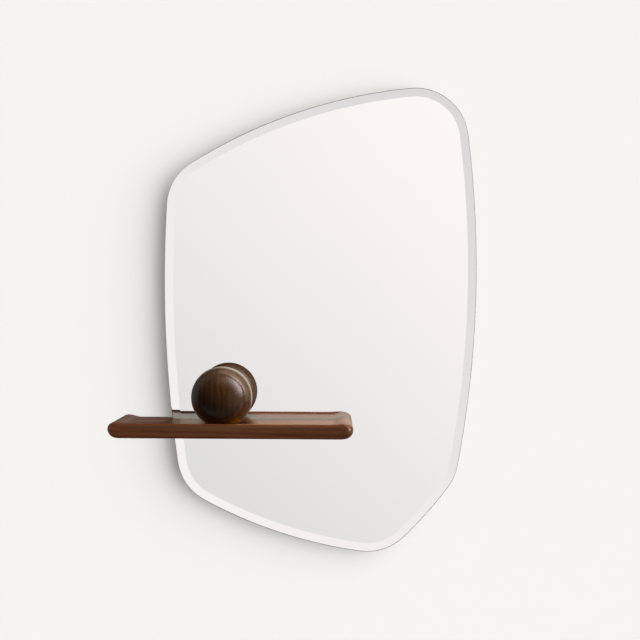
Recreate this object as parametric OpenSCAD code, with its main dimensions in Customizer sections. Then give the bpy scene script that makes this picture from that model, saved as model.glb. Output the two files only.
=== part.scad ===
// Wall mirror with a free-form outline, a bevelled edge, a walnut shelf in front of its
// lower left side and a flat-bottomed walnut ball standing on the shelf.
//
// Frame: millimetres, +Z up, +X to the right of someone who faces the mirror.
// The wall is the plane y = 0, and the mirror faces -Y. The origin lies on the wall,
// midway between the two screws that hold the wall rail.

/* [Mirror] */
// Height of the mirror, lowest to highest point
mirror_h = 801; // [720:1:880]
// Thickness of the glass
glass_t = 5; // [4:0.5:6]
// Width of the polished bevel
bevel_w = 15; // [8:1:25]
// How much the bevel thins the glass at its edge
bevel_drop = 1; // [0.5:0.25:2]
// Width of the slanted arris ground along the edge of the bevel
arris = 1; // [0.5:0.1:1.5]
// Radius of the five rounded corners
corner_r = 91; // [80:1:105]
// Height of the middle of the outline below the wall screws
mirror_drop = 220; // [200:1:230]

/* [Layers behind the glass] */
// Thickness of the safety film glued over the silver coat
film_t = 0.4; // [0.2:0.1:0.6]
// Margin of bare glass round the safety film
film_inset = 2; // [1:0.5:6]
// Thickness of the foam tape that bonds the glass to the board
tape_t = 1.2; // [0.8:0.1:2]
// Width of a strip of foam tape
tape_w = 25; // [12:1:30]
// Thickness of the backing board
board_t = 16; // [15:1:19]
// Distance of the board's edge inside the edge of the glass
board_inset = 25; // [18:1:30]

/* [Rails] */
// Length of both rails
rail_l = 300; // [240:5:340]
// Thickness of the rails' aluminium
rail_t = 2.2; // [1.8:0.1:2.6]
// Height of a rail's flat flange, with the step out of it
flange_h = 20; // [16:1:24]
// Height of the tongue that hooks into the other rail
tongue_h = 11.8; // [8:0.2:14]
// Air between two rail faces that slide past each other
rail_gap = 0.2; // [0.1:0.05:0.4]
// Distance between the two wall screws
wall_screw_spacing = 200; // [150:5:220]
// Diameter of the holes for the wall screws
wall_hole_d = 5.5; // [4:0.5:6.5]

/* [Shelf] */
// Width of the shelf, end to end
shelf_w = 403; // [380:1:420]
// Depth of the shelf in front of the glass
shelf_d = 110; // [104:1:120]
// Thickness of the shelf
shelf_t = 25; // [23:0.5:28]
// Distance of the shelf's left end from the wall screws' middle
shelf_left = 355; // [346:1:360]
// Height of the shelf's ends below the middle of the outline
shelf_drop = 188.5; // [170:0.5:200]
// Height of the upper part of the shelf's round ends, from the tip to the top
end_top_h = 10.5; // [10:0.5:12]
// Length of the shelf's round ends
end_w = 13; // [8:0.5:16]
// Radius of the shelf's two front corners, seen from above
front_corner_r = 16; // [6:1:20]
// Radius of the edge along the shelf's lower front
edge_r = 2.5; // [1:0.25:3.5]
// Depth of the softer edge along the shelf's upper front
soft_edge_d = 3.5; // [1:0.25:3.5]
// Height of the softer edge along the shelf's upper front
soft_edge_h = 7; // [3:0.5:7.5]
// Depth of the shallow dish below the tops of the shelf's ends
dish_depth = 4; // [2:0.5:4.5]
// Length of the dish's sloping ends
dish_ramp = 22; // [16:1:40]
// Thickness of the lip left in front of the dish
lip_t = 4; // [4:0.5:5]
// How far the lip lies below the tops of the shelf's ends
lip_drop = 1; // [0:0.25:2]
// Length of the slope from the lip down to the dish's floor
lip_slope = 4.5; // [3:0.5:8]
// Air between the shelf's notch and the edge of the glass
notch_gap = 1; // [0.5:0.1:2]
// Thickness of the felt pad between the shelf and the wall
pad_t = 2; // [1:0.5:3]

/* [Ball] */
// Diameter of the ball
ball_d = 102; // [90:1:104]
// Height cut off the ball to make its flat bottom
ball_cut = 8; // [5:0.5:12]
// Distance of the ball's middle left of the wall screws' middle
ball_left = 171; // [160:1:180]
// Distance of the ball's middle in front of the glass
ball_ahead = 62.6; // [58:0.1:66]

/* [Shelf bracket] */
// Diameter of the two rods that carry the shelf
rod_d = 10; // [8:0.5:10]
// Length of rod inside the shelf
rod_reach = 70; // [50:1:80]
// Distance between the two rods
rod_spacing = 200; // [180:1:205]
// Distance of the right-hand rod to the right of the wall screws' middle
rod_right = 0; // [0:1:10]
// Thickness of the steel plate behind the rods
plate_t = 4; // [3:0.5:5]
// Height of the steel plate
plate_h = 40; // [36:1:50]

/* [Hidden] */

round_fn = 64;      // sides drawn on a round part
over = 1;           // overlap of a cutting tool past the face that it cuts
fit = 0.05;         // air round a part that sits in a drilled hole

// Outline of the mirror: five corner circles joined by five shallow arcs. The points are
// the corner circles' middles, clockwise from the upper left, round the outline's middle.
drawn_h = 801;
grow = mirror_h / drawn_h;
corners = grow * [[-183, 173], [155, 290], [141, -254], [75, -329], [-162, -253]];
side_radii = grow * [870, 1820, 730, 790, 2180];
corner_steps = 14;
side_steps = 22;

// Layers, as distances from the wall
rail_depth = 3 * rail_t + 2 * rail_gap;
board_back = rail_depth + rail_t + rail_gap;
board_front = board_back + board_t;
film_back = board_front + tape_t;
glass_back = film_back + film_t;
glass_front = glass_back + glass_t;
shelf_front = glass_front + shelf_d;

// Foam tape, one strip at each place to the side of the middle
tape_places = [-150, -60, 60, 150];
tape_margin = 12;

// Rails
step_top = flange_h / 2;
rail_tip = step_top + tongue_h;
mirror_rail_zero = rail_tip + step_top;
rail_screw_places = [-130, -45, 45, 130];
rail_screw_z = mirror_rail_zero;

// Shelf
shelf_top = -mirror_drop - shelf_drop;
shelf_bottom = shelf_top - shelf_t;
shelf_right = shelf_w - shelf_left;
dish_floor = shelf_top - dish_depth;
edge_end = max(edge_r, soft_edge_d);
lip_end = lip_t + lip_slope;
corner_end = max(front_corner_r, lip_end + 1);
end_steps = 8;
ramp_steps = 10;
edge_steps = 4;
lip_steps = 5;
corner_steps_behind_lip = 3;

// Shelf bracket
rod_z = (shelf_bottom + dish_floor) / 2;
rod_places = [rod_right - rod_spacing, rod_right];
plate_margin = 25;
plate_w = rod_spacing + 2 * plate_margin;
plate_mid = rod_right - rod_spacing / 2;
recess_air = 0.2;
plate_back = board_back + recess_air / 2;
plate_front = plate_back + plate_t;
recess_front = plate_front + recess_air / 2;
bracket_screw_side = 40;
bracket_screw_edge = 8;
bracket_screw_dx = plate_w / 2 - bracket_screw_side;
bracket_screw_dz = plate_h / 2 - bracket_screw_edge;

// Bushes round the rods where they pass through the glass
bush_d = 14;
bush_air = 0.2;
bush_flange_d = 20;
bush_flange_t = 1;

// Ball
ball_r = ball_d / 2;
ball_z = dish_floor + ball_r - ball_cut;
ball_depth = glass_front + ball_ahead;
ball_screw_d = 5;
ball_screw_grip = 25;
ball_pocket_d = 11;
ball_pocket_h = 5;
washer_d = 10;
washer_t = 1;
ball_head_d = 8.5;
ball_head_h = 3;

// Rubber bumpers that keep the foot of the mirror off the wall
bumper_places = [[-90, -320], [95, -335]];
bumper_d = 22;
bumper_pocket_d = 9;
bumper_web = 3;
bumper_screw_d = 3.5;
bumper_head_d = 7;

// Screws
wood_screw_d = 4;
wood_screw_head_d = 7.6;
wood_screw_head_h = 2.4;
wood_screw_grip = 12;
rod_bolt_d = 6;
rod_bolt_head_d = 12;
rod_bolt_head_h = 3;
rod_bolt_grip = 18;
lock_screw_d = 5;
lock_screw_place = 40;
hex_across = 2.9;
socket_depth = 1.6;

glass_colour = [0.86, 0.88, 0.89];
walnut_colour = [0.36, 0.22, 0.14];
ball_colour = [0.27, 0.17, 0.12];
board_colour = [0.13, 0.12, 0.12];
film_colour = [0.45, 0.47, 0.49];
steel_colour = [0.62, 0.63, 0.65];
alloy_colour = [0.78, 0.79, 0.81];
rubber_colour = [0.10, 0.10, 0.10];
nylon_colour = [0.92, 0.91, 0.88];
felt_colour = [0.30, 0.28, 0.27];

// ---- Outline ------------------------------------------------------------------------

function direction(angle) = [cos(angle), sin(angle)];
function angle_of(v) = atan2(v[1], v[0]);
function turn(from, to) = (to - from + 540) % 360 - 180;
function next(i) = (i + 1) % len(corners);
function previous(i) = (i + len(corners) - 1) % len(corners);

// Middle of the shallow arc between corner i and the next one, so that it touches both
// corner circles from outside
function side_centre(i) =
    let (a = corners[i], b = corners[next(i)], along = (b - a) / norm(b - a))
    let (reach = sqrt(pow(side_radii[i] - corner_r, 2) - pow(norm(b - a) / 2, 2)))
    (a + b) / 2 + reach * [along[1], -along[0]];

function arc_points(centre, radius, from, to, steps) =
    [for (k = [0 : steps - 1]) centre + radius * direction(from + turn(from, to) * k / steps)];

// The outline, moved inwards by inset, as [x, z] points about the wall screws' middle
function outline(inset) = [
    for (i = [0 : len(corners) - 1])
        let (start = angle_of(corners[i] - side_centre(previous(i))))
        let (middle = angle_of(corners[i] - side_centre(i)))
        let (finish = angle_of(corners[next(i)] - side_centre(i)))
        for (point = concat(
            arc_points(corners[i], corner_r - inset, start, middle, corner_steps),
            arc_points(side_centre(i), side_radii[i] - inset, middle, finish, side_steps)
        )) point - [0, mirror_drop]
];

// ---- Shared shapes ------------------------------------------------------------------

// A plate of the given [x, z] points between two distances from the wall
module plate(points, back, front) {
    translate([0, -back, 0])
        rotate([90, 0, 0])
            linear_extrude(front - back)
                polygon(points);
}

// A round bar along Y at [x, z], between two distances from the wall
module bar(place, diameter, back, front) {
    translate([place[0], -back, place[1]])
        rotate([90, 0, 0])
            cylinder(d = diameter, h = front - back, $fn = round_fn);
}

// A block from one corner to the other, given as distances right, from the wall and up
module block(low, high) {
    translate([low[0], -high[1], low[2]])
        cube([high[0] - low[0], high[1] - low[1], high[2] - low[2]]);
}

// A screw along Y: its head's outer face at back, its point towards the glass
module screw(place, shank_d, head_d, head_h, back, length) {
    difference() {
        union() {
            bar(place, head_d, back, back + head_h);
            bar(place, shank_d, back + head_h / 2, back + head_h + length);
        }
        hex_socket(place, back);
    }
}

module hex_socket(place, back) {
    translate([place[0], -back + over, place[1]])
        rotate([90, 0, 0])
            cylinder(d = hex_across, h = over + socket_depth, $fn = 6);
}

// A countersunk screw along Y, or the hole for it: the flat head's outer face at back
module countersunk(place, shank_d, head_d, head_h, back, length, air = 0) {
    translate([place[0], -back, place[1]])
        rotate([90, 0, 0])
            rotate_extrude($fn = round_fn)
                polygon([
                    [0, 0], [head_d / 2 + 2 * air, 0], [shank_d / 2 + air, head_h + air],
                    [shank_d / 2 + air, length], [0, length]
                ]);
}

// Both rails are cut from this Z section, given as [distance from the wall, height]
function rail_section() = [
    [0, -flange_h / 2], [rail_t, -flange_h / 2], [rail_t, step_top - rail_t],
    [rail_depth, step_top - rail_t], [rail_depth, rail_tip],
    [rail_depth - rail_t, rail_tip], [rail_depth - rail_t, step_top], [0, step_top]
];

module rail() {
    translate([-rail_l / 2, 0, 0])
        rotate([90, 0, 90])
            linear_extrude(rail_l)
                polygon([for (p = rail_section()) [-p[0], p[1]]]);
}

// A solid through rings of [x, z] points that run clockwise, one ring at each distance from
// the wall, with the nearest ring first. Each cap is three faces: one half of the ring as seen
// from its first point, the other half as seen from its last point, and a strip between them,
// so that a dish in the middle of the ring leaves every face in view of its first corner.
module loft(rings, distances) {
    n = len(rings[0]);
    half = n / 2;
    last = n * (len(rings) - 1);
    points = [
        for (k = [0 : len(rings) - 1])
            for (p = rings[k]) [p[0], -distances[k], p[1]]
    ];
    back_cap = [
        [0, for (i = [half - 1 : -1 : 1]) i],
        [n - 1, half, half - 1, 0],
        [n - 1, for (i = [n - 2 : -1 : half]) i]
    ];
    front_cap = [
        [for (i = [0 : half - 1]) last + i],
        [last, last + half - 1, last + half, last + n - 1],
        [last + n - 1, for (i = [half : n - 2]) last + i]
    ];
    sides = [
        for (ring = [0 : n : last - n])
            for (i = [0 : n - 1])
                let (j = (i + 1) % n)
                for (face = [[ring + i, ring + j, ring + n + j],
                        [ring + i, ring + n + j, ring + n + i]]) face
    ];
    polyhedron(points, concat(back_cap, front_cap, sides), convexity = 4);
}

// ---- Mirror -------------------------------------------------------------------------

module mirror_glass() {
    bevel_foot = glass_front - bevel_drop;
    color(glass_colour)
        difference() {
            loft([outline(0), outline(0), outline(arris), outline(bevel_w)],
                [glass_back, bevel_foot - arris, bevel_foot, glass_front]);
            for (x = rod_places)
                bar([x, rod_z], bush_d + bush_air, glass_back - over, glass_front + over);
        }
}

module safety_film() {
    color(film_colour)
        difference() {
            plate(outline(film_inset), film_back, glass_back);
            for (x = rod_places)
                bar([x, rod_z], bush_d + bush_air, film_back - over, glass_back + over);
        }
}

module bonding_tape() {
    color(rubber_colour)
        translate([0, -board_front, 0])
            rotate([90, 0, 0])
                linear_extrude(tape_t)
                    intersection() {
                        polygon(outline(board_inset + tape_margin));
                        for (x = tape_places)
                            translate([x - tape_w / 2, -mirror_drop - mirror_h / 2])
                                square([tape_w, mirror_h]);
                    }
}

module backing_board() {
    screw_end = plate_back + wood_screw_grip + fit;
    color(board_colour)
        difference() {
            plate(outline(board_inset), board_back, board_front);
            block(
                [plate_mid - plate_w / 2 - recess_air, board_back - over,
                    rod_z - plate_h / 2 - recess_air],
                [plate_mid + plate_w / 2 + recess_air, recess_front,
                    rod_z + plate_h / 2 + recess_air]
            );
            for (x = rod_places)
                bar([x, rod_z], rod_d + 2 * fit, recess_front - over, board_front + over);
            for (x = rail_screw_places)
                bar([x, rail_screw_z], wood_screw_d + 2 * fit, board_back - over, screw_end);
            for (place = bracket_screw_points())
                bar(place, wood_screw_d + 2 * fit, recess_front - over, screw_end);
            for (place = bumper_points())
                bar(place, bumper_screw_d + 2 * fit, board_back - over, screw_end);
        }
}

// ---- Rails --------------------------------------------------------------------------

module wall_rail() {
    color(alloy_colour)
        difference() {
            rail();
            for (side = [-1, 1])
                bar([side * wall_screw_spacing / 2, 0], wall_hole_d, -over, rail_t + over);
        }
}

module mirror_rail() {
    color(alloy_colour)
        difference() {
            translate([0, -board_back, mirror_rail_zero])
                rotate([180, 0, 0])
                    rail();
            for (x = rail_screw_places)
                bar([x, rail_screw_z], wood_screw_d + 2 * fit, board_back - rail_t - over,
                    board_back + over);
        }
}

module mirror_rail_screws() {
    color(steel_colour)
        for (x = rail_screw_places)
            screw([x, rail_screw_z], wood_screw_d, wood_screw_head_d, wood_screw_head_h,
                board_back - rail_t - wood_screw_head_h, rail_t + wood_screw_grip);
}

// ---- Bumpers ------------------------------------------------------------------------

function bumper_points() = [for (p = bumper_places) p - [0, mirror_drop]];

module wall_bumpers() {
    color(rubber_colour)
        for (place = bumper_points())
            difference() {
                bar(place, bumper_d, 0, board_back);
                bar(place, bumper_pocket_d, -over, board_back - bumper_web);
                bar(place, bumper_screw_d + 2 * fit, 0, board_back + over);
            }
}

module bumper_screws() {
    color(steel_colour)
        for (place = bumper_points())
            screw(place, bumper_screw_d, bumper_head_d, wood_screw_head_h,
                board_back - bumper_web - wood_screw_head_h, bumper_web + wood_screw_grip);
}

// ---- Shelf bracket ------------------------------------------------------------------

function bracket_screw_points() = [
    for (dx = [-bracket_screw_dx, bracket_screw_dx])
        for (dz = [-bracket_screw_dz, bracket_screw_dz])
            [plate_mid + dx, rod_z + dz]
];

module bracket_plate() {
    color(steel_colour)
        difference() {
            block(
                [plate_mid - plate_w / 2, plate_back, rod_z - plate_h / 2],
                [plate_mid + plate_w / 2, plate_front, rod_z + plate_h / 2]
            );
            for (place = bracket_screw_points())
                countersunk(place, wood_screw_d, wood_screw_head_d, wood_screw_head_h,
                    plate_back - fit, plate_t + over, fit);
            for (x = rod_places)
                countersunk([x, rod_z], rod_bolt_d, rod_bolt_head_d, rod_bolt_head_h,
                    plate_back - fit, plate_t + over, fit);
        }
}

module bracket_screws() {
    color(steel_colour)
        for (place = bracket_screw_points())
            difference() {
                countersunk(place, wood_screw_d, wood_screw_head_d, wood_screw_head_h,
                    plate_back, wood_screw_grip);
                hex_socket(place, plate_back);
            }
}

module shelf_rods() {
    color(steel_colour)
        for (x = rod_places)
            difference() {
                bar([x, rod_z], rod_d, plate_front, glass_front + rod_reach);
                bar([x, rod_z], rod_bolt_d + 2 * fit, plate_front - over,
                    plate_front + rod_bolt_grip);
            }
}

module rod_bolts() {
    color(steel_colour)
        for (x = rod_places)
            difference() {
                countersunk([x, rod_z], rod_bolt_d, rod_bolt_head_d, rod_bolt_head_h,
                    plate_back, rod_bolt_grip);
                hex_socket([x, rod_z], plate_back);
            }
}

module glass_bushes() {
    color(nylon_colour)
        for (x = rod_places)
            difference() {
                union() {
                    bar([x, rod_z], bush_flange_d, board_front, board_front + bush_flange_t);
                    bar([x, rod_z], bush_d, board_front, glass_front);
                }
                bar([x, rod_z], rod_d + 2 * fit, board_front - over, glass_front + over);
            }
}

// ---- Shelf --------------------------------------------------------------------------

// A smooth step from 0 to 1
function fall(part) = (1 - cos(180 * min(1, max(0, part)))) / 2;

// How far a quarter circle of radius r has drawn in at distance d from where it ends
function quarter(r, d) = d < r ? r - sqrt(r * r - (r - d) * (r - d)) : 0;

// One end of the shelf's front view: the round end, then the slope into the dish. It is
// drawn from the round end's inner end at the tip's height, clockwise from the bottom.
function end_points(depth, inset, top_inset) =
    let (low_h = shelf_t - end_top_h - inset, top_h = end_top_h - top_inset, w = end_w - inset)
    concat(
        [for (k = [0 : end_steps]) let (a = 90 * k / end_steps) [-w * sin(a), -low_h * cos(a)]],
        [for (k = [1 : end_steps]) let (a = 90 * k / end_steps) [-w * cos(a), top_h * sin(a)]],
        [for (k = [1 : ramp_steps])
            [dish_ramp * k / ramp_steps, top_h - depth * fall(k / ramp_steps)]]
    );

// The shelf's front view, clockwise, with a dish of the given depth in its top, drawn in
// by inset below and at the ends, by top_inset above and by shift more at both ends
function shelf_section(depth, inset, top_inset, shift) =
    let (end = end_points(depth, inset, top_inset), tip_z = shelf_top - end_top_h)
    let (left = shift + end_w - shelf_left, right = shelf_right - end_w - shift)
    concat(
        [for (p = end) [left + p[0], tip_z + p[1]]],
        [for (k = [len(end) - 1 : -1 : 0]) [right - end[k][0], tip_z + end[k][1]]]
    );

// Depth of the shelf's top below its ends, at a distance behind the front
function dish_at(distance) =
    lip_drop + (dish_depth - lip_drop) * fall((distance - lip_t) / lip_slope);

// Distances behind the shelf's front at which its section is drawn
shelf_cuts = concat(
    [shelf_front - pad_t],
    [for (k = [corner_steps_behind_lip : -1 : 1])
        lip_end + (corner_end - lip_end) * k / corner_steps_behind_lip],
    [for (k = [lip_steps : -1 : 0]) lip_t + lip_slope * k / lip_steps],
    [for (k = [0 : edge_steps]) edge_end * (1 - sin(90 * k / edge_steps))]
);

module shelf() {
    lock_length = rod_z - rod_d / 2 - shelf_bottom;
    color(walnut_colour)
        difference() {
            loft(
                [for (d = shelf_cuts)
                    shelf_section(dish_at(d), quarter(edge_r, d),
                        quarter(soft_edge_d, d) * soft_edge_h / soft_edge_d,
                        quarter(front_corner_r, d))],
                [for (d = shelf_cuts) shelf_front - d]
            );
            plate(outline(-notch_gap), -over, glass_front);
            for (x = rod_places) {
                bar([x, rod_z], rod_d + 2 * fit, glass_front - over,
                    glass_front + rod_reach + over);
                translate([x, -glass_front - lock_screw_place, shelf_bottom - over])
                    cylinder(d = lock_screw_d + 2 * fit, h = lock_length + 2 * over,
                        $fn = round_fn);
            }
            translate([-ball_left, -ball_depth, shelf_bottom - over])
                cylinder(d = ball_pocket_d, h = ball_pocket_h + over, $fn = round_fn);
            translate([-ball_left, -ball_depth, shelf_bottom])
                cylinder(d = ball_screw_d + 2 * fit, h = shelf_t, $fn = round_fn);
        }
}

module shelf_lock_screws() {
    length = rod_z - rod_d / 2 - shelf_bottom - 2 * fit;
    color(steel_colour)
        for (x = rod_places)
            translate([x, -glass_front - lock_screw_place, shelf_bottom + fit])
                difference() {
                    cylinder(d = lock_screw_d, h = length, $fn = round_fn);
                    translate([0, 0, -over])
                        cylinder(d = hex_across, h = over + socket_depth, $fn = 6);
                }
}

module shelf_wall_pad() {
    pad_left = shelf_left - end_w - dish_ramp / 2;
    pad_w = 45;
    pad_h = 13;
    pad_z = (shelf_bottom + dish_floor) / 2;
    color(felt_colour)
        block([-pad_left, 0, pad_z - pad_h / 2], [pad_w - pad_left, pad_t, pad_z + pad_h / 2]);
}

// ---- Ball ---------------------------------------------------------------------------

module ball() {
    color(ball_colour)
        translate([-ball_left, -ball_depth, ball_z])
            difference() {
                sphere(r = ball_r, $fn = 2 * round_fn);
                translate([-ball_r, -ball_r, -2 * ball_r])
                    cube([ball_d, ball_d, ball_r + ball_cut]);
                translate([0, 0, ball_cut - ball_r - over])
                    cylinder(d = ball_screw_d + 2 * fit, h = ball_screw_grip + 2 * over,
                        $fn = round_fn);
            }
}

module ball_screw() {
    head_top = shelf_bottom + ball_pocket_h - washer_t;
    color(steel_colour)
        translate([-ball_left, -ball_depth, 0])
            difference() {
                union() {
                    translate([0, 0, head_top - ball_head_h])
                        cylinder(d = ball_head_d, h = ball_head_h, $fn = round_fn);
                    translate([0, 0, head_top - ball_head_h / 2])
                        cylinder(d = ball_screw_d,
                            h = dish_floor + ball_screw_grip - head_top + ball_head_h / 2,
                            $fn = round_fn);
                }
                translate([0, 0, head_top - ball_head_h - over])
                    cylinder(d = hex_across, h = over + socket_depth, $fn = 6);
            }
}

module ball_washer() {
    color(steel_colour)
        translate([-ball_left, -ball_depth, shelf_bottom + ball_pocket_h - washer_t])
            difference() {
                cylinder(d = washer_d, h = washer_t, $fn = round_fn);
                translate([0, 0, -over])
                    cylinder(d = ball_screw_d + 2 * fit, h = washer_t + 2 * over,
                        $fn = round_fn);
            }
}

mirror_glass();
safety_film();
bonding_tape();
backing_board();
mirror_rail();
mirror_rail_screws();
wall_rail();
wall_bumpers();
bumper_screws();
bracket_plate();
bracket_screws();
shelf_rods();
rod_bolts();
glass_bushes();
shelf();
shelf_lock_screws();
shelf_wall_pad();
ball();
ball_screw();
ball_washer();
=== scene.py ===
import math

import bmesh
import bpy
from mathutils import Matrix, Vector


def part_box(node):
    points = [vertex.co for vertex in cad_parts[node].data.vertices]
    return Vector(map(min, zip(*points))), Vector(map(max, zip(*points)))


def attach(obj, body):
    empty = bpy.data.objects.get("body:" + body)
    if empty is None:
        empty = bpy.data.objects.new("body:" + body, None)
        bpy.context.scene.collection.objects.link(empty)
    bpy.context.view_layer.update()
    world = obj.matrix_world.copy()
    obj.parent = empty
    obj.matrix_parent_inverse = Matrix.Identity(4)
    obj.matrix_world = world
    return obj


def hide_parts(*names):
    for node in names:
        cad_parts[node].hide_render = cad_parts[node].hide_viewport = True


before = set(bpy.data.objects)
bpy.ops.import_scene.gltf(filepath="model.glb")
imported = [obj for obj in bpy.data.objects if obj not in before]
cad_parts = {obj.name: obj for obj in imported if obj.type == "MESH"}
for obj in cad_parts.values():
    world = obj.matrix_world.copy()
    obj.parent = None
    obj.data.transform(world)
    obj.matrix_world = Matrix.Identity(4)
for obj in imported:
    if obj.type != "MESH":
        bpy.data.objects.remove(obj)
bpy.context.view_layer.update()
MM = 0.001
# In degrees, and in radians
HALF_TURN = 180
RIGHT_ANGLE = math.pi / 2
UP = (0, 0, 1)
FORWARD = (0, -1, 0)

# ---- Places and sizes, in metres, as the frame gives them ----------------------------

GLASS_LOW, GLASS_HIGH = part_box("mirror_glass")
SHELF_LOW, SHELF_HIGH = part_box("shelf")
BALL_LOW, BALL_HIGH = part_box("ball")
ROD_LOW, ROD_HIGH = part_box("shelf_rods")
LOCK_LOW, LOCK_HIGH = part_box("shelf_lock_screws")

GLASS_FRONT = GLASS_LOW.y
GLASS_BACK = GLASS_HIGH.y
SHELF_MID = (SHELF_LOW + SHELF_HIGH) / 2
BALL_MID = (BALL_LOW + BALL_HIGH) / 2
# A drilled hole is this much wider, in radius, than what goes into it
DRILL_AIR = 0.05 * MM


# ---- Small helpers --------------------------------------------------------------------

# How far a cutting tool runs past the piece that it cuts
OVERRUN = 1 * MM
TOOL_SIDES = 48


def srgb(red, green, blue):
    """A display colour from 0 to 255 as Blender's linear colour."""
    def linear(value):
        share = value / 255
        return share / 12.92 if share <= 0.04045 else ((share + 0.055) / 1.055) ** 2.4
    return (linear(red), linear(green), linear(blue), 1.0)


def grey(value):
    return (value, value, value, 1.0)


def direction(degrees):
    """Unit vector at an angle from +X towards +Z, as x and z."""
    angle = math.radians(degrees)
    return Vector((math.cos(angle), math.sin(angle)))


def new_object(name, mesh):
    piece = bpy.data.objects.new(name, mesh)
    bpy.context.scene.collection.objects.link(piece)
    return piece


def smooth_below(mesh, degrees):
    """Shades the mesh smooth, with an edge left sharp where its faces meet at more than this."""
    limit = math.radians(degrees)
    shape = bmesh.new()
    shape.from_mesh(mesh)
    for face in shape.faces:
        face.smooth = True
    for edge in shape.edges:
        edge.smooth = edge.is_manifold and edge.calc_face_angle(math.pi) < limit
    shape.to_mesh(mesh)
    shape.free()


def loft(name, rings):
    """A closed mesh through rings of points, with the first and last ring filled."""
    shape = bmesh.new()
    rows = [[shape.verts.new(point) for point in ring] for ring in rings]
    count = len(rows[0])
    for near, far in zip(rows, rows[1:]):
        for i in range(count):
            j = (i + 1) % count
            shape.faces.new((near[i], near[j], far[j], far[i]))
    shape.faces.new(rows[0])
    shape.faces.new(list(reversed(rows[-1])))
    bmesh.ops.recalc_face_normals(shape, faces=shape.faces)
    mesh = bpy.data.meshes.new(name)
    shape.to_mesh(mesh)
    shape.free()
    return new_object(name, mesh)


def drill(start, axis, radius, length):
    """A round cutting tool that starts at a point and runs along the axis."""
    shape = bmesh.new()
    bmesh.ops.create_cone(
        shape, cap_ends=True, segments=TOOL_SIDES, radius1=radius, radius2=radius, depth=length,
        matrix=Matrix.Translation((0, 0, length / 2)),
    )
    mesh = bpy.data.meshes.new("tool")
    shape.to_mesh(mesh)
    shape.free()
    tool = new_object("tool", mesh)
    turn = Vector(axis).to_track_quat("Z", "Y").to_matrix().to_4x4()
    tool.data.transform(Matrix.Translation(start) @ turn)
    return tool


def cut(piece, tools):
    """Takes each tool away from the piece, for good."""
    for tool in tools:
        cutter = piece.modifiers.new("cut", "BOOLEAN")
        cutter.operation = "DIFFERENCE"
        cutter.solver = "EXACT"
        cutter.object = tool
        settled = bpy.context.evaluated_depsgraph_get()
        mesh = bpy.data.meshes.new_from_object(piece.evaluated_get(settled))
        piece.modifiers.clear()
        piece.data = mesh
        bpy.data.objects.remove(tool)
    piece.data.name = piece.name


def give(piece, *materials):
    piece.data.materials.clear()
    for material in materials:
        piece.data.materials.append(material)


def stand_for(piece, node):
    """The piece is shown in place of a CAD node, and moves with the mirror."""
    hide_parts(node)
    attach(piece, "mirror")


# ---- Node helpers ---------------------------------------------------------------------

# The Mix node has sockets for each kind of value, and these are the ones for colours
MIX_SHARE, MIX_FIRST, MIX_SECOND = 0, 6, 7
MIX_RESULT = 2
# Noise seldom leaves this range, so tones and roughness are spread over it
NOISE_LOW, NOISE_HIGH = 0.3, 0.7


class Nodes:
    """A node tree, with short calls for the nodes used here."""

    def __init__(self, tree):
        self.tree = tree

    def join(self, value, socket):
        """Links a socket to a socket, or sets a plain value."""
        if isinstance(value, bpy.types.NodeSocket):
            self.tree.links.new(value, socket)
        else:
            socket.default_value = value

    def add(self, kind, inputs=None, **settings):
        node = self.tree.nodes.new(kind)
        for name, value in settings.items():
            setattr(node, name, value)
        for name, value in (inputs or {}).items():
            self.join(value, node.inputs[name])
        return node

    def math(self, operation, *values):
        node = self.add("ShaderNodeMath", operation=operation)
        for value, socket in zip(values, node.inputs):
            self.join(value, socket)
        return node.outputs["Value"]

    def plus(self, first, second):
        return self.math("ADD", first, second)

    def times(self, first, second):
        return self.math("MULTIPLY", first, second)

    def mix(self, share, first, second, blend="MIX"):
        node = self.add("ShaderNodeMix", data_type="RGBA", blend_type=blend)
        for value, socket in ((share, MIX_SHARE), (first, MIX_FIRST), (second, MIX_SECOND)):
            self.join(value, node.inputs[socket])
        return node.outputs[MIX_RESULT]

    def spread(self, value, low, high, to_low=0.0, to_high=1.0):
        """The value, taken from the range low to high to another range and held inside it."""
        return self.add(
            "ShaderNodeMapRange",
            {"Value": value, "From Min": low, "From Max": high, "To Min": to_low,
             "To Max": to_high},
        ).outputs["Result"]

    def ramp(self, value, stops):
        """A colour for each value, blended between the stops, which may be plain greys."""
        low, high = stops[0][0], stops[-1][0]
        node = self.add("ShaderNodeValToRGB", {"Fac": self.spread(value, low, high)})
        elements = node.color_ramp.elements
        while len(elements) < len(stops):
            elements.new(0.5)
        for element, (place, colour) in zip(elements, stops):
            element.position = (place - low) / (high - low)
            element.color = colour if isinstance(colour, tuple) else grey(colour)
        return node.outputs["Color"]


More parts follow.
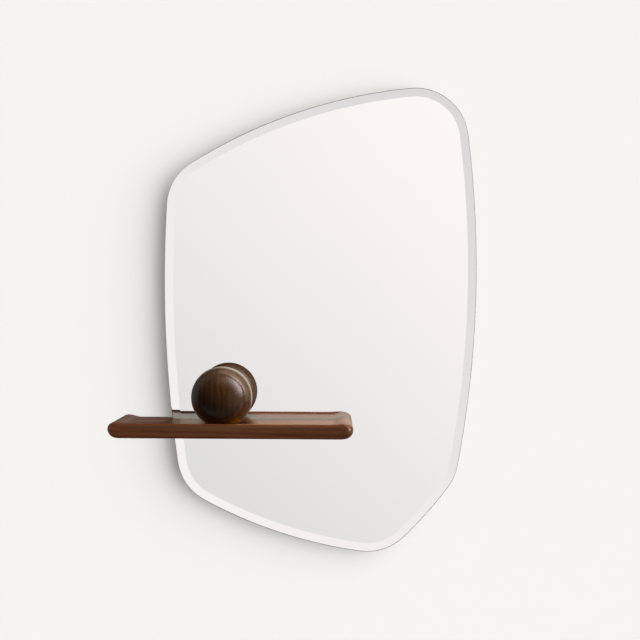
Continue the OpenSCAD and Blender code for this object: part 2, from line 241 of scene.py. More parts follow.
class Finish(Nodes):
    """A new material round one Principled shader."""

    def __init__(self, name, **values):
        self.material = bpy.data.materials.new(name)
        self.material.use_nodes = True
        super().__init__(self.material.node_tree)
        self.shader = self.tree.nodes["Principled BSDF"]
        for socket, value in values.items():
            self.shader.inputs[socket.replace("_", " ")].default_value = value

    def link(self, source, name):
        self.tree.links.new(source, self.shader.inputs[name])

    def places(self, scale):
        """Places on the object, in metres, with a scale for each direction."""
        place = self.add("ShaderNodeTexCoord")
        return self.add(
            "ShaderNodeMapping", {"Vector": place.outputs["Object"], "Scale": scale},
        ).outputs["Vector"]

    def noise(self, scale, detail=4.0, roughness=0.5, distortion=0.0):
        """Noise with this many grains per metre, the same or one number for each direction."""
        vector = self.places(scale if isinstance(scale, tuple) else (scale, scale, scale))
        return self.add(
            "ShaderNodeTexNoise",
            {"Vector": vector, "Scale": 1.0, "Detail": detail, "Roughness": roughness,
             "Distortion": distortion},
        ).outputs["Fac"]

    def tones(self, pattern, first, second, low=NOISE_LOW, high=NOISE_HIGH):
        """Base colour from the first tone to the second, as the pattern goes from low to high."""
        self.link(self.ramp(pattern, [(low, first), (high, second)]), "Base Color")

    def dull(self, pattern, least, most):
        """Roughness that follows the pattern."""
        self.link(self.spread(pattern, NOISE_LOW, NOISE_HIGH, least, most), "Roughness")

    def bump(self, height, distance, strength):
        normal = self.add(
            "ShaderNodeBump",
            {"Height": height, "Distance": distance, "Strength": strength},
        ).outputs["Normal"]
        self.link(normal, "Normal")


# ---- Camera ---------------------------------------------------------------------------

PICTURE = 640
FOCAL_PX = 1100
PRINCIPAL_PX = (328, 303.5)
CAMERA_PLACE = Vector((5.0, -1929.0, -212.2)) * MM
CAMERA_ROLL = math.radians(0.37)
SENSOR = 36


def make_camera():
    camera = bpy.data.objects.new("camera", bpy.data.cameras.new("camera"))
    bpy.context.scene.collection.objects.link(camera)
    camera.location = CAMERA_PLACE
    camera.rotation_euler = (RIGHT_ANGLE, -CAMERA_ROLL, 0)
    camera.data.sensor_width = SENSOR
    camera.data.lens = SENSOR * FOCAL_PX / PICTURE
    camera.data.shift_x = -(PRINCIPAL_PX[0] / PICTURE - 0.5)
    camera.data.shift_y = PRINCIPAL_PX[1] / PICTURE - 0.5
    bpy.context.scene.camera = camera


# ---- Materials: each gives its pattern, then its tones, roughness and bump --------------

def silvered_glass():
    m = Finish("silvered_glass", Metallic=1.0, Roughness=0.0)
    m.tones(m.noise(3, detail=2), (0.965, 0.965, 0.965, 1), (0.975, 0.972, 0.970, 1))
    return m.material


def polished_edge():
    """The glass edge: green in its depth, with the faint lines that polishing leaves."""
    m = Finish("polished_edge", Roughness=0.12, IOR=1.52, Coat_Weight=0.6, Coat_Roughness=0.03)
    m.tones(m.noise((25, 900, 25), detail=3), srgb(96, 112, 108), srgb(150, 164, 158))
    return m.material


def mirror_paint():
    """The grey paint on the back of the silver."""
    m = Finish("mirror_back_paint", Roughness=0.5)
    cloud = m.noise(60, detail=5, roughness=0.6)
    m.tones(cloud, srgb(92, 100, 104), srgb(112, 120, 123))
    m.bump(cloud, distance=0.05 * MM, strength=0.4)
    return m.material


def painted_board():
    m = Finish("painted_board")
    wide = m.noise(9, detail=3)
    m.tones(wide, srgb(38, 36, 36), srgb(52, 49, 48), high=0.75)
    m.dull(wide, least=0.55, most=0.72)
    m.bump(m.noise(700, detail=3), distance=0.1 * MM, strength=0.4)
    return m.material


def safety_film():
    m = Finish("grey_film", Roughness=0.42)
    wide = m.noise(14)
    m.tones(wide, srgb(104, 108, 112), srgb(124, 128, 132))
    m.bump(wide, distance=0.2 * MM, strength=0.4)
    return m.material


def foam():
    m = Finish("black_foam", Roughness=0.9)
    cells = m.add("ShaderNodeTexVoronoi", {"Vector": m.places((1500, 1500, 1500)),
                                           "Scale": 1.0}).outputs["Distance"]
    m.tones(cells, srgb(22, 22, 22), srgb(48, 48, 48), low=0.1)
    m.bump(cells, distance=0.2 * MM, strength=0.6)
    return m.material


def drawn_alloy():
    """Mill-finish extrusion, with its drawing lines along the rail."""
    m = Finish("drawn_alloy", Metallic=1.0, Anisotropic=0.4)
    lines = m.noise((4, 1800, 1800))
    m.tones(lines, srgb(176, 178, 182), srgb(206, 208, 211))
    m.dull(lines, least=0.26, most=0.42)
    m.bump(lines, distance=0.03 * MM, strength=0.5)
    return m.material


def zinc_plate():
    m = Finish("zinc_plate", Metallic=1.0)
    spots = m.noise(160, detail=5, roughness=0.65)
    m.tones(spots, srgb(150, 153, 158), srgb(192, 195, 198))
    m.dull(spots, least=0.22, most=0.38)
    m.bump(spots, distance=0.03 * MM, strength=0.3)
    return m.material


def moulded_rubber():
    m = Finish("moulded_rubber")
    grain = m.noise(1200, detail=3)
    m.tones(grain, srgb(26, 26, 27), srgb(40, 40, 41))
    m.dull(grain, least=0.62, most=0.8)
    m.bump(grain, distance=0.05 * MM, strength=0.5)
    return m.material


def natural_nylon():
    m = Finish("natural_nylon", Roughness=0.45, Subsurface_Weight=0.1)
    m.tones(m.noise(220, detail=3), srgb(226, 224, 214), srgb(238, 236, 228))
    return m.material


def felt():
    m = Finish("pressed_felt", Roughness=0.95, Sheen_Weight=0.5, Sheen_Roughness=0.6)
    fluff = m.noise(900, detail=6, roughness=0.7, distortion=1.5)
    m.tones(fluff, srgb(84, 79, 76), srgb(128, 122, 117))
    m.bump(fluff, distance=0.4 * MM, strength=0.8)
    return m.material


# ---- Wood -----------------------------------------------------------------------------

# The wood's patterns, per metre along the grain and across it
BROAD_SCALE = (1.6, 22)
LAYER_SCALE = (2.5, 34)
STREAK_SCALE = (9, 190)
FIBRE_SCALE = (70, 1500)
# What each pattern adds to the tone, and the sums that give the dark, middle and light tone
BROAD_SHARE = 0.45
LAYER_SHARE = 0.14
STREAK_SHARE = 0.41
TONE_LEVELS = (0.34, 0.49, 0.66)
# Fibres above the first level begin to show as pores, which are deepest from the second
PORE_START, PORE_FULL = 0.57, 0.70
PORE_DARKNESS = 0.7
# How far the wood's roughness goes below and above its usual value
ROUGH_BELOW, ROUGH_ABOVE = 0.05, 0.07
# How the relief follows the fibres and streaks
FIBRE_RELIEF = -1.0
STREAK_RELIEF = -0.6
RELIEF = 0.12 * MM

SHELF_TONES = (srgb(84, 42, 22), srgb(116, 62, 34), srgb(138, 82, 48))
SHELF_HIGHLIGHT = (1.0, 0.9, 0.8, 1.0)
BALL_TONES = (srgb(68, 37, 16), srgb(84, 51, 26), srgb(100, 65, 36))


def walnut(name, along, bands, tones, rough, **values):
    """Wood whose grain runs along the axis that `along` names, with its growth layers
    crossing the axis `bands`, and its dark, middle and light tones."""
    def stretched(scale):
        lengthwise, across = scale
        return tuple(lengthwise if axis == along else across for axis in "XYZ")

    m = Finish(name, **values)
    broad = m.noise(stretched(BROAD_SCALE), detail=4, roughness=0.5, distortion=0.8)
    layers = m.add(
        "ShaderNodeTexWave",
        {"Vector": m.places(stretched(LAYER_SCALE)), "Scale": 1.0, "Distortion": 9.0,
         "Detail": 3.0, "Detail Scale": 0.7, "Detail Roughness": 0.6},
        wave_type="BANDS", bands_direction=bands, wave_profile="SIN",
    ).outputs["Fac"]
    streaks = m.noise(stretched(STREAK_SCALE), detail=5, roughness=0.6)
    fibres = m.noise(stretched(FIBRE_SCALE), detail=3, roughness=0.6)
    tone = m.plus(m.times(broad, BROAD_SHARE),
                  m.plus(m.times(layers, LAYER_SHARE), m.times(streaks, STREAK_SHARE)))
    wood = m.ramp(tone, list(zip(TONE_LEVELS, tones)))
    pores = m.spread(fibres, PORE_START, PORE_FULL, 0.0, PORE_DARKNESS)
    m.link(m.mix(pores, wood, tones[0]), "Base Color")
    m.dull(streaks, least=rough - ROUGH_BELOW, most=rough + ROUGH_ABOVE)
    grain = m.plus(m.times(fibres, FIBRE_RELIEF), m.times(streaks, STREAK_RELIEF))
    m.bump(grain, distance=RELIEF, strength=0.5)
    return m.material


# ---- Mirror ---------------------------------------------------------------------------

# The outline, as in the CAD source: corner circles joined by shallow arcs
CORNERS = [Vector(p) * MM for p in ((-183, 173), (155, 290), (141, -254), (75, -329),
                                    (-162, -253))]
SIDE_RADII = [r * MM for r in (870, 1820, 730, 790, 2180)]
CORNER_R = 91 * MM
MIRROR_DROP = 220 * MM
BEVEL_W = 15 * MM
BEVEL_DROP = 1 * MM
ARRIS = 1 * MM
BACK_ARRIS = 0.5 * MM
CORNER_STEPS = 28
SIDE_STEPS = 66
BUSH_HOLE_R = 7.1 * MM
# The pane's materials, by what their faces are
SILVER, EDGE, BACK = range(3)
# A face counts as the back when its normal points this far backwards
BACK_FACING = 0.9
# A face counts as the edge when its middle is this far behind the bevel's foot
EDGE_START = 0.6 * ARRIS
# Faces that meet at more than this, in degrees, keep a sharp edge between them
GLASS_SHARP = 3
WOOD_SHARP = 35


def side_centre(i):
    """Middle of the shallow arc from corner i to the next, which touches both circles."""
    here, there = CORNERS[i], CORNERS[(i + 1) % len(CORNERS)]
    along = (there - here).normalized()
    half = (there - here).length / 2
    reach = math.sqrt((SIDE_RADII[i] - CORNER_R) ** 2 - half ** 2)
    return (here + there) / 2 + reach * Vector((along.y, -along.x))


def arc(centre, radius, start, finish, steps):
    """Points on a circle from one direction to another, the shorter way and without the last."""
    first = math.degrees(math.atan2(start.y, start.x))
    last = math.degrees(math.atan2(finish.y, finish.x))
    turn = (last - first + 3 * HALF_TURN) % (2 * HALF_TURN) - HALF_TURN
    return [centre + radius * direction(first + turn * k / steps) for k in range(steps)]


def ring(inset, y):
    """The mirror's outline moved inwards by inset, clockwise, at one depth."""
    points = []
    for i, corner in enumerate(CORNERS):
        following = CORNERS[(i + 1) % len(CORNERS)]
        before, after = side_centre((i - 1) % len(CORNERS)), side_centre(i)
        points += arc(corner, CORNER_R - inset, corner - before, corner - after, CORNER_STEPS)
        points += arc(after, SIDE_RADII[i] - inset, corner - after, following - after,
                      SIDE_STEPS)
    return [(p.x, y, p.y - MIRROR_DROP) for p in points]


def rod_places():
    """The rods' radius, their height and the x of each."""
    radius = (ROD_HIGH.z - ROD_LOW.z) / 2
    return radius, (ROD_HIGH.z + ROD_LOW.z) / 2, (ROD_LOW.x + radius, ROD_HIGH.x - radius)


def mirror_pane():
    foot = GLASS_FRONT + BEVEL_DROP
    pane = loft("mirror_pane", [
        ring(BACK_ARRIS, GLASS_BACK),
        ring(0, GLASS_BACK - BACK_ARRIS),
        ring(0, foot + ARRIS),
        ring(ARRIS, foot),
        ring(BEVEL_W, GLASS_FRONT),
    ])
    _, z, places = rod_places()
    through = GLASS_BACK - GLASS_FRONT + 2 * OVERRUN
    cut(pane, [drill((x, GLASS_BACK + OVERRUN, z), FORWARD, BUSH_HOLE_R, through)
               for x in places])
    give(pane, silvered_glass(), polished_edge(), mirror_paint())
    for face in pane.data.polygons:
        if face.normal.y > BACK_FACING:
            face.material_index = BACK
        elif face.center.y > foot + EDGE_START:
            face.material_index = EDGE
        else:
            face.material_index = SILVER
    smooth_below(pane.data, GLASS_SHARP)
    stand_for(pane, "mirror_glass")
    return pane


# ---- Shelf ----------------------------------------------------------------------------

END_TOP_H = 10.5 * MM
END_W = 13 * MM
FRONT_CORNER_R = 16 * MM
EDGE_R = 2.5 * MM
SOFT_EDGE_D = 3.5 * MM
SOFT_EDGE_H = 7 * MM
DISH_DEPTH = 4 * MM
DISH_RAMP = 22 * MM
DISH_ARRIS = 0.5 * MM
LIP = 4 * MM
LIP_DROP = 1 * MM
LIP_SLOPE = 4.5 * MM
NOTCH_AIR = 1 * MM
# The notch's tool runs this far into the wall
NOTCH_PAST = 10 * MM
# The arris's tool stands this far above the dish, so that no two faces lie in one plane
ARRIS_LIFT = 0.01 * MM
ROD_HOLE_DEEP = 72 * MM
BALL_HOLE_R = 2.55 * MM
BALL_POCKET_R = 5.5 * MM
BALL_POCKET_H = 5 * MM
END_STEPS = 24
RAMP_STEPS = 30
EDGE_STEPS = 12
SLOPE_STEPS = 12
CORNER_STAGES = 4


def fall(share):
    """A smooth step from 0 to 1."""
    return (1 - math.cos(math.pi * min(1, max(0, share)))) / 2


def quarter(radius, distance):
    """How far a quarter circle has drawn in at this distance from where it ends."""
    if distance >= radius:
        return 0.0
    return radius - math.sqrt(radius ** 2 - (radius - distance) ** 2)


def shelf_ring(distance):
    """The shelf's front view at a distance behind its front."""
    depth = LIP_DROP + (DISH_DEPTH - LIP_DROP) * fall((distance - LIP) / LIP_SLOPE)
    inset = quarter(EDGE_R, distance)
    top_inset = quarter(SOFT_EDGE_D, distance) * SOFT_EDGE_H / SOFT_EDGE_D
    shift = quarter(FRONT_CORNER_R, distance)
    tip_z = SHELF_HIGH.z - END_TOP_H
    low_h = tip_z - SHELF_LOW.z - inset
    top_h = END_TOP_H - top_inset
    width = END_W - inset
    angles = [RIGHT_ANGLE * k / END_STEPS for k in range(END_STEPS + 1)]
    end = [(-width * math.sin(a), -low_h * math.cos(a)) for a in angles]
    end += [(-width * math.cos(a), top_h * math.sin(a)) for a in angles[1:]]
    shares = [k / RAMP_STEPS for k in range(1, RAMP_STEPS + 1)]
    end += [(DISH_RAMP * s, top_h - depth * fall(s)) for s in shares]
    y = SHELF_LOW.y + distance
    left, right = SHELF_LOW.x + END_W + shift, SHELF_HIGH.x - END_W - shift
    return ([(left + x, y, tip_z + z) for x, z in end]
            + [(right - x, y, tip_z + z) for x, z in reversed(end)])


def shelf_distances():
    """Distances behind the shelf's front at which its form is set."""
    slope_end = LIP + LIP_SLOPE
    places = [SOFT_EDGE_D * (1 - math.cos(RIGHT_ANGLE * k / EDGE_STEPS))
              for k in range(EDGE_STEPS + 1)]
    places += [LIP + LIP_SLOPE * k / SLOPE_STEPS for k in range(SLOPE_STEPS + 1)]
    places += [slope_end + (FRONT_CORNER_R - slope_end) * k / CORNER_STAGES
               for k in range(1, CORNER_STAGES + 1)]
    return places + [SHELF_HIGH.y - SHELF_LOW.y]


def shelf_tools():
    """What is cut from the shelf: the notch for the glass, holes for the rods, their lock
    screws and the ball's screw, and the arris along the dish's back edge."""
    rod_r, rod_z, places = rod_places()
    lock_r = (LOCK_HIGH.y - LOCK_LOW.y) / 2
    lock_y = (LOCK_HIGH.y + LOCK_LOW.y) / 2
    below = SHELF_LOW.z - OVERRUN
    tools = [loft("tool", [ring(-NOTCH_AIR, NOTCH_PAST), ring(-NOTCH_AIR, GLASS_FRONT)])]
    for x in places:
        tools.append(drill((x, GLASS_FRONT + OVERRUN, rod_z), FORWARD, rod_r + DRILL_AIR,
                           ROD_HOLE_DEEP))
        tools.append(drill((x, lock_y, below), UP, lock_r + DRILL_AIR, rod_z - SHELF_LOW.z))
    under_ball = (BALL_MID.x, BALL_MID.y, below)
    tools.append(drill(under_ball, UP, BALL_POCKET_R, BALL_POCKET_H + OVERRUN))
    tools.append(drill(under_ball, UP, BALL_HOLE_R, SHELF_HIGH.z - SHELF_LOW.z + 2 * OVERRUN))
    floor_z = SHELF_HIGH.z - DISH_DEPTH
    wedge = [(GLASS_FRONT - DISH_ARRIS, floor_z), (GLASS_FRONT + OVERRUN, floor_z),
             (GLASS_FRONT + OVERRUN, floor_z - OVERRUN - DISH_ARRIS)]
    ends = (SHELF_LOW.x + END_W + DISH_RAMP, SHELF_HIGH.x - END_W - DISH_RAMP)
    tools.append(loft("tool", [[(x, y, z + ARRIS_LIFT) for y, z in wedge] for x in ends]))
    return tools


def shelf_board():
    board = loft("shelf_board", [shelf_ring(distance) for distance in shelf_distances()])
    cut(board, shelf_tools())
    give(board, walnut("shelf_walnut", along="X", bands="Z", tones=SHELF_TONES, rough=0.30,
                       Specular_Tint=SHELF_HIGHLIGHT))
    smooth_below(board.data, WOOD_SHARP)
    stand_for(board, "shelf")
    return board


# ---- Ball -----------------------------------------------------------------------------

BALL_SEGMENTS = 96
BALL_RINGS = 64
BALL_SCREW_DEEP = 28 * MM


def ball_profile(radius, flat_z):
    """Half section from the top down to the flat, as distance from the axis and height."""
    lowest = math.asin(flat_z / radius)
    angles = [RIGHT_ANGLE + (lowest - RIGHT_ANGLE) * k / BALL_RINGS
              for k in range(1, BALL_RINGS + 1)]
    return [(radius * math.cos(a), radius * math.sin(a)) for a in angles]


def wooden_ball():
    radius = (BALL_HIGH.x - BALL_LOW.x) / 2
    centre = Vector((BALL_MID.x, BALL_MID.y, BALL_HIGH.z - radius))
    turns = [direction(2 * HALF_TURN * k / BALL_SEGMENTS) for k in range(BALL_SEGMENTS)]
    shape = loft("wooden_ball", [
        [centre + Vector((r * t.x, r * t.y, z)) for t in turns]
        for r, z in ball_profile(radius, BALL_LOW.z - centre.z)])
    cut(shape, [drill((centre.x, centre.y, BALL_LOW.z - OVERRUN), UP, BALL_HOLE_R,
                      BALL_SCREW_DEEP)])
    give(shape, walnut("ball_walnut", along="Z", bands="X", tones=BALL_TONES, rough=0.32,
                       Coat_Weight=0.8, Coat_Roughness=0.1))
    smooth_below(shape.data, WOOD_SHARP)
    stand_for(shape, "ball")
    return shape


# ---- CAD pieces that keep their shape -------------------------------------------------

def dress_cad_nodes():
    zinc, alloy = zinc_plate(), drawn_alloy()
    looks = {
        "safety_film": safety_film(), "bonding_tape": foam(), "backing_board": painted_board(),
        "mirror_rail": alloy, "wall_rail": alloy, "mirror_rail_screws": zinc,
        "wall_bumpers": moulded_rubber(), "bumper_screws": zinc, "bracket_plate": zinc,
        "bracket_screws": zinc, "shelf_rods": zinc, "rod_bolts": zinc,
        "glass_bushes": natural_nylon(), "shelf_lock_screws": zinc, "shelf_wall_pad": felt(),
        "ball_screw": zinc, "ball_washer": zinc,
    }
    for name, material in looks.items():
        give(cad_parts[name], material)
    return [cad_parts[name] for name in looks]


# ---- Stage: wall and floor ------------------------------------------------------------

STAGE_HALF = 2.4
WALL_BEHIND = 0.3 * MM
FLOOR_Z = -1.35
FLOOR_DEEP = 1.0
WALL_PAINT = (0.36, 0.356, 0.343, 1)
FLOOR_PAINT = grey(0.6)
# How bright the painted shade leaves the stage where a piece touches it, and how far from there
# that painted shade ends
CONTACT_LEVEL = 0.87
CONTACT_SHADE = 6 * MM
# Share of its light that the stage sends back to the pieces
STAGE_REBOUND = 0.15


def stage_material(name, colour):
    """Pale and matt, with painted shade where a piece nearly touches it, and painted darker in
    the light that it sends back. It can't be seen from behind or in the glass, and casts no
    shadow."""
    material = bpy.data.materials.new(name)
    material.use_nodes = True
    m = Nodes(material.node_tree)
    m.tree.nodes.clear()
    rays = m.add("ShaderNodeLightPath").outputs
    behind = m.add("ShaderNodeNewGeometry").outputs["Backfacing"]
    unseen = m.math("MAXIMUM", m.math("MAXIMUM", behind, rays["Is Shadow Ray"]),
                    rays["Is Singular Ray"])
    # Ambient occlusion paints shade into the stage's colour where a piece nearly touches it
    open_share = m.add("ShaderNodeAmbientOcclusion", {"Distance": CONTACT_SHADE}).outputs["AO"]
    indirect = m.math("MAXIMUM", rays["Is Glossy Ray"], rays["Is Diffuse Ray"])
    seen = m.times(m.spread(open_share, 0.0, 1.0, CONTACT_LEVEL, 1.0),
                   m.spread(indirect, 0.0, 1.0, 1.0, STAGE_REBOUND))
    shade = m.mix(seen, grey(0), colour)
    matt = m.add("ShaderNodeBsdfDiffuse", {"Color": shade}).outputs[0]
    clear = m.add("ShaderNodeBsdfTransparent").outputs[0]
    mixed = m.add("ShaderNodeMixShader", {0: unseen, 1: matt, 2: clear}).outputs[0]
    m.add("ShaderNodeOutputMaterial", {"Surface": mixed})
    return material


def sheet(name, corners, material):
    mesh = bpy.data.meshes.new(name)
    mesh.from_pydata(corners, [], [range(len(corners))])
    piece = new_object(name, mesh)
    give(piece, material)
    return piece


def make_stage():
    w = STAGE_HALF
    wall = sheet("wall", [(-w, WALL_BEHIND, FLOOR_Z), (w, WALL_BEHIND, FLOOR_Z),
                          (w, WALL_BEHIND, w), (-w, WALL_BEHIND, w)],
                 stage_material("wall_paint", WALL_PAINT))
    floor = sheet("floor", [(-w, -FLOOR_DEEP, FLOOR_Z), (w, -FLOOR_DEEP, FLOOR_Z),
                            (w, WALL_BEHIND, FLOOR_Z), (-w, WALL_BEHIND, FLOOR_Z)],
                  stage_material("floor_paint", FLOOR_PAINT))
    return wall, floor


# ---- Studio round the part ------------------------------------------------------------

# The views below are laid out over the direction of the ray that sees them: x to the right, y
# into the wall and z up, each from -1 to 1. A list gives the brightness or colour at places
# along one of them, or along the diagonal between x and z. A pair is the range over which one
# thing turns into the next.

WALL_SHOWN = srgb(245, 244, 240)

# What the glass reflects straight ahead, inside an oval and round it, and then to its sides
GLASS_AHEAD = [(-0.26, srgb(218, 218, 218)), (-0.03, srgb(240, 238, 237)),
               (0.20, srgb(255, 251, 250))]
GLASS_AROUND = [(-0.40, srgb(250, 246, 245)), (-0.03, srgb(240, 237, 236)),
                (0.215, srgb(224, 222, 222)), (0.42, srgb(218, 217, 217))]
GLASS_ASIDE = [(-0.8, 0.85), (-0.5, 0.1), (0.5, 0.1), (0.8, 0.3)]
OVAL_HALF_WIDTH = 0.205
OVAL_HALF_HEIGHT = 0.2775
OVAL_LOWERED = 0.0075
OVAL_FADE = (0.95, 1.2)
ASIDE_FADE = (-0.35, -0.2)

# The room's light from left to right, above and behind
ROOM_TINT = (1.0, 0.78, 0.55, 1)
ROOM_MIDDLE = 0.3
ABOVE_FADE = (0.2, 1.0)
BEHIND_FADE = (0.0, 0.4)

# The window at the right, and how it spreads as gloss sees it and by way of the glass
WINDOW_LIGHT = 6.0
WINDOW_TINT = (1.0, 0.94, 0.98, 1)
WINDOW_UPWARD = [(0.0, 0.0), (0.2, 0.45), (0.36, 1.0), (0.75, 1.0), (0.92, 0.3)]
WINDOW_ACROSS = [(-0.5, 0.0), (-0.3, 0.25), (-0.08, 1.0)]
WINDOW_EDGE = (0.15, 0.45)
WINDOW_REBOUND = (-0.35, -0.12, 0.0, 1.2)

# The warm ceiling, which is brighter to the right
CEILING_LIGHT = 0.95
CEILING_LEFT = 0.1
CEILING_UPWARD = [(0.55, 0.0), (0.7, 0.1), (0.85, 0.55), (0.96, 1.0)]
CEILING_EDGE = (-0.35, 0.3)

# What lacquer reflects by way of the glass, and the ray depth at which it does. Depths count
# as equal when they are nearer than the slack.
GLASS_AFTER_GLOSS = 3.0
DEPTH_SLACK = 0.5
REBOUND_TINT = (1.0, 0.95, 0.78, 1)
REBOUND_ALONG = [(-1.0, 0.36), (-0.97, 0.68), (-0.92, 1.0), (-0.76, 0.14), (-0.6, 0.34),
                 (-0.3, 0.78), (0.0, 0.9)]
REBOUND_SIDE = [(-0.95, 0.0), (-0.85, 0.1), (-0.5, 0.1), (-0.25, 0.2), (-0.12, 0.45),
                (0.0, 0.8), (0.1, 1.0)]
REBOUND_RISE = (-0.3, 0.25)
REBOUND_TURN = (-0.9, -0.75)
# Its strength from above, which is that of the light line on the ball's edge, and from below
RIM_LIGHT = 2.4
RIM_LOW = 0.3 * RIM_LIGHT


class Studio(Nodes):
    """The world's shader."""

    def __init__(self, tree):
        super().__init__(tree)
        place = self.add("ShaderNodeTexCoord").outputs["Generated"]
        self.x, self.y, self.z = self.add("ShaderNodeSeparateXYZ", {0: place}).outputs

    def tinted(self, level, colour):
        """The colour, made as bright as the level says."""
        shade = colour[:3] if isinstance(colour, tuple) else colour
        return self.add("ShaderNodeVectorMath", {0: shade, "Scale": level},
                        operation="SCALE").outputs[0]

    def together(self, first, second):
        return self.add("ShaderNodeVectorMath", {0: first, 1: second},
                        operation="ADD").outputs[0]

    def square(self, value, unit):
        """The value in this unit, squared."""
        return self.math("POWER", self.math("ABSOLUTE", self.math("DIVIDE", value, unit)), 2.0)

    def glass_view(self):
        """What the mirror reflects: a soft field straight ahead, inside an oval, with a
        brighter and a darker side round it, and darkness past the edges of the studio."""
        diagonal = self.times(self.plus(self.x, self.z), math.sqrt(0.5))
        ahead = self.ramp(diagonal, GLASS_AHEAD)
        around = self.ramp(diagonal, GLASS_AROUND)
        oval = self.plus(self.square(self.x, OVAL_HALF_WIDTH),
                         self.square(self.plus(self.z, OVAL_LOWERED), OVAL_HALF_HEIGHT))
        front = self.mix(self.spread(oval, *OVAL_FADE), ahead, around)
        aside = self.ramp(self.x, GLASS_ASIDE)
        return self.mix(self.spread(self.y, *ASIDE_FADE), front, aside)

    def room(self, left, middle, right, above, behind):
        """Soft light that grows from a dim left to a brighter right side."""
        level = self.ramp(self.x, [(-1.0, left), (ROOM_MIDDLE, middle), (1.0, right)])
        level = self.mix(self.spread(self.z, *ABOVE_FADE), level, grey(above))
        return self.mix(self.spread(self.y, *BEHIND_FADE), level, grey(behind))

    def window(self, across):
        """One tall, soft window at the right, with its spread across given."""
        upward = self.ramp(self.z, WINDOW_UPWARD)
        return self.times(self.times(across, upward),
                          self.spread(self.x, *WINDOW_EDGE, 0.0, WINDOW_LIGHT))

    def gloss_view(self):
        """What glossy pieces reflect: a dim room with a warm ceiling, and the window, which
        ends level with the mirror."""
        window = self.window(self.ramp(self.y, WINDOW_ACROSS))
        ceiling = self.times(self.ramp(self.z, CEILING_UPWARD),
                             self.spread(self.x, *CEILING_EDGE, CEILING_LEFT, CEILING_LIGHT))
        room = self.room(left=0.02, middle=0.08, right=0.52, above=0.05, behind=0.15)
        return self.together(self.tinted(window, WINDOW_TINT),
                             self.tinted(self.plus(ceiling, room), ROOM_TINT))

    def rebound_view(self, glass):
        """What lacquer reflects by way of the glass: the mirror's own view where it looks back
        to the front, which draws the light line along the ball's edge, and the warm room and
        the window's edge aside."""
        along = self.ramp(self.y, REBOUND_ALONG)
        side = self.ramp(self.x, REBOUND_SIDE)
        level = self.times(self.times(along, side),
                           self.spread(self.z, *REBOUND_RISE, RIM_LOW, RIM_LIGHT))
        front = self.mix(1.0, glass, REBOUND_TINT, blend="MULTIPLY")
        tint = self.mix(self.spread(self.y, *REBOUND_TURN), front, ROOM_TINT)
        edge = self.window(self.spread(self.y, *WINDOW_REBOUND))
        return self.together(self.tinted(level, tint), self.tinted(edge, WINDOW_TINT))


def make_world():
    """Camera, mirror, gloss and soft light each see a view of their own, because the photo's
    wall, mirror image and light don't belong to one room."""
    world = bpy.data.worlds.new("studio")
    bpy.context.scene.world = world
    world.use_nodes = True
    world.cycles.sampling_method = "NONE"
    world.node_tree.nodes.clear()
    w = Studio(world.node_tree)
    rays = w.add("ShaderNodeLightPath").outputs
    glass = w.glass_view()
    by_gloss = w.math("COMPARE", rays["Ray Depth"], GLASS_AFTER_GLOSS, DEPTH_SLACK)
    glass = w.mix(by_gloss, glass, w.rebound_view(glass))
    soft = w.room(left=0.0, middle=0.045, right=0.15, above=0.18, behind=0.40)
    colour = w.mix(rays["Is Glossy Ray"], soft, w.gloss_view())
    colour = w.mix(rays["Is Singular Ray"], colour, glass)
    colour = w.mix(rays["Is Camera Ray"], colour, WALL_SHOWN)
    shade = w.add("ShaderNodeBackground", {"Color": colour}).outputs[0]
    w.add("ShaderNodeOutputWorld", {"Surface": shade})


# ---- Lamps ----------------------------------------------------------------------------

WHITE = (1, 1, 1)
# The raking sun's direction, in degrees: forwards from the wall, and up
RAKE_FORWARD = math.radians(32)
RAKE_UP = math.radians(12)
RAKE_FROM = (math.cos(RAKE_FORWARD) * math.cos(RAKE_UP), -math.sin(RAKE_FORWARD),
             math.cos(RAKE_FORWARD) * math.sin(RAKE_UP))
# The wall's suns: name, strength, where the light comes from, and its width in degrees
WALL_SUNS = (("wall_rake", 8.1, RAKE_FROM, 96), ("wall_slant", 1.8, (1.2, -1, 0.1), 50),
             ("wall_front", 2.2, FORWARD, 10))
MIRROR_MID = Vector((0, 0, -0.24))
# Where a narrow beam brightens the shelf's top, to the right of the ball
BEAM_SPOT = SHELF_MID + Vector((0.09, -0.01, 0))


def lamp(name, kind, energy, place, target, colour=WHITE, **settings):
    light = bpy.data.lights.new(name, kind)
    light.energy = energy
    light.color = colour
    for setting, value in settings.items():
        setattr(light, setting, value)
    holder = bpy.data.objects.new(name, light)
    bpy.context.scene.collection.objects.link(holder)
    holder.location = place
    aim = Vector(target) - Vector(place)
    holder.rotation_euler = aim.to_track_quat("-Z", "Y").to_euler()
    return holder


def collection_of(name, *objects):
    group = bpy.data.collections.new(name)
    for item in objects:
        group.objects.link(item)
    return group


def light_wall(stage, pane, board):
    """Three suns for the wall and floor alone. The broad one rakes in from the right, so its
    soft shadow lies on the left. Only the mirror and its board cast that shadow, and multiple
    importance sampling is off because its rays would let the shelf darken the wall too."""
    stage_only = collection_of("stage_only", *stage)
    casters = collection_of("wall_shadow", pane, board)
    for name, strength, source, width in WALL_SUNS:
        sun = lamp(name, "SUN", strength, source, (0, 0, 0), angle=math.radians(width))
        sun.data.cycles.use_multiple_importance_sampling = False
        sun.light_linking.receiver_collection = stage_only
        sun.light_linking.blocker_collection = casters


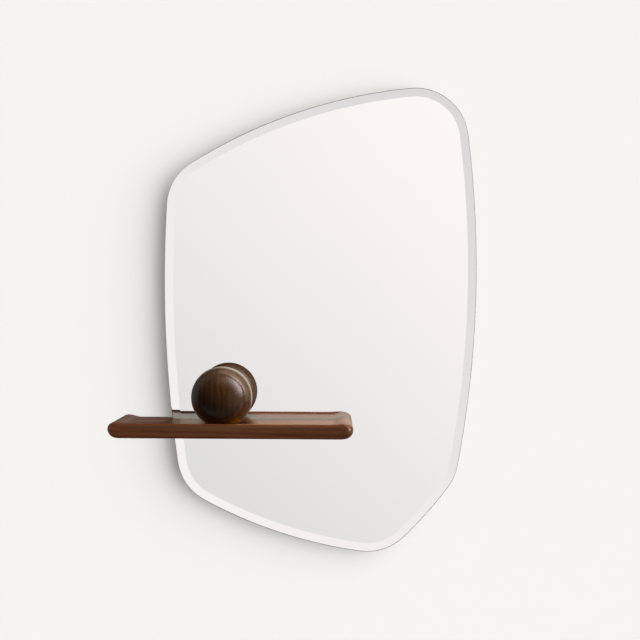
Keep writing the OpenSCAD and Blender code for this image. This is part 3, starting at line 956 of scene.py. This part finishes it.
def softbox(name, lit, target, radiance, away, size, colour=WHITE, beam=180, gloss=False):
    """A rectangular light of an even brightness for some of the pieces. It stands `away` from
    its target, and without gloss it makes no highlight."""
    width, height = size
    box = lamp(name, "AREA", radiance * math.pi * width * height, target + Vector(away), target,
               colour, shape="RECTANGLE", size=width, size_y=height, spread=math.radians(beam))
    box.light_linking.receiver_collection = lit
    box.visible_glossy = gloss
    return box


def light_pieces(pane, shelf, ball, others):
    """Lamps for everything but the wall."""
    above_lit = collection_of("above_lit", ball, *others)
    on_shelf = collection_of("shelf_only", shelf)
    on_ball = collection_of("ball_only", ball)
    behind_lit = collection_of("behind_lit", pane, shelf, ball, *others)
    softbox("overhead", above_lit, BALL_MID, radiance=2.4, away=(0.2, -0.2, 1.5),
            size=(1.2, 0.8))
    softbox("shelf_key", on_shelf, SHELF_MID, radiance=3.7, away=(-1.2, -0.95, 0.9),
            size=(1.2, 1.2))
    softbox("ball_key", on_ball, BALL_MID, radiance=4.1, away=(1.2, -0.7, 1.2),
            size=(1.0, 1.0))
    softbox("shelf_strip", on_shelf, SHELF_MID, radiance=0.9, away=(0.1, -2.1, 0.4),
            size=(2.2, 0.7), colour=(0.85, 0.95, 0.85), gloss=True)
    softbox("shelf_beam", on_shelf, BEAM_SPOT, radiance=1.0, away=(0, 0, 0.3),
            size=(0.25, 0.13), colour=(0.8, 0.9, 1.0), beam=20)
    softbox("end_fill", on_shelf, SHELF_MID, radiance=10.0, away=(1.2, 0.05, 0.1),
            size=(0.5, 0.5))
    glint = softbox("corner_glint", on_shelf, SHELF_MID, radiance=15.0,
                    away=(1.8, -0.5, 0.15), size=(0.6, 0.5), colour=(1.0, 0.93, 0.85),
                    gloss=True)
    glint.visible_diffuse = False
    glow = softbox("amber_glow", on_ball, BALL_MID, radiance=2.4,
                   away=Vector((34, -16, -49)) * MM, size=(40 * MM, 10 * MM),
                   colour=(1.0, 0.85, 0.03))
    glow.light_linking.blocker_collection = on_ball
    softbox("rear_fill", behind_lit, MIRROR_MID, radiance=4.0, away=(0.6, 2.4, 0.84),
            size=(1.8, 1.8), gloss=True)


make_camera()
mirror = mirror_pane()
shelf = shelf_board()
ball = wooden_ball()
fittings = dress_cad_nodes()
light_wall(make_stage(), mirror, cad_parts["backing_board"])
light_pieces(mirror, shelf, ball, fittings)
make_world()
bpy.context.scene.view_settings.view_transform = "Standard"
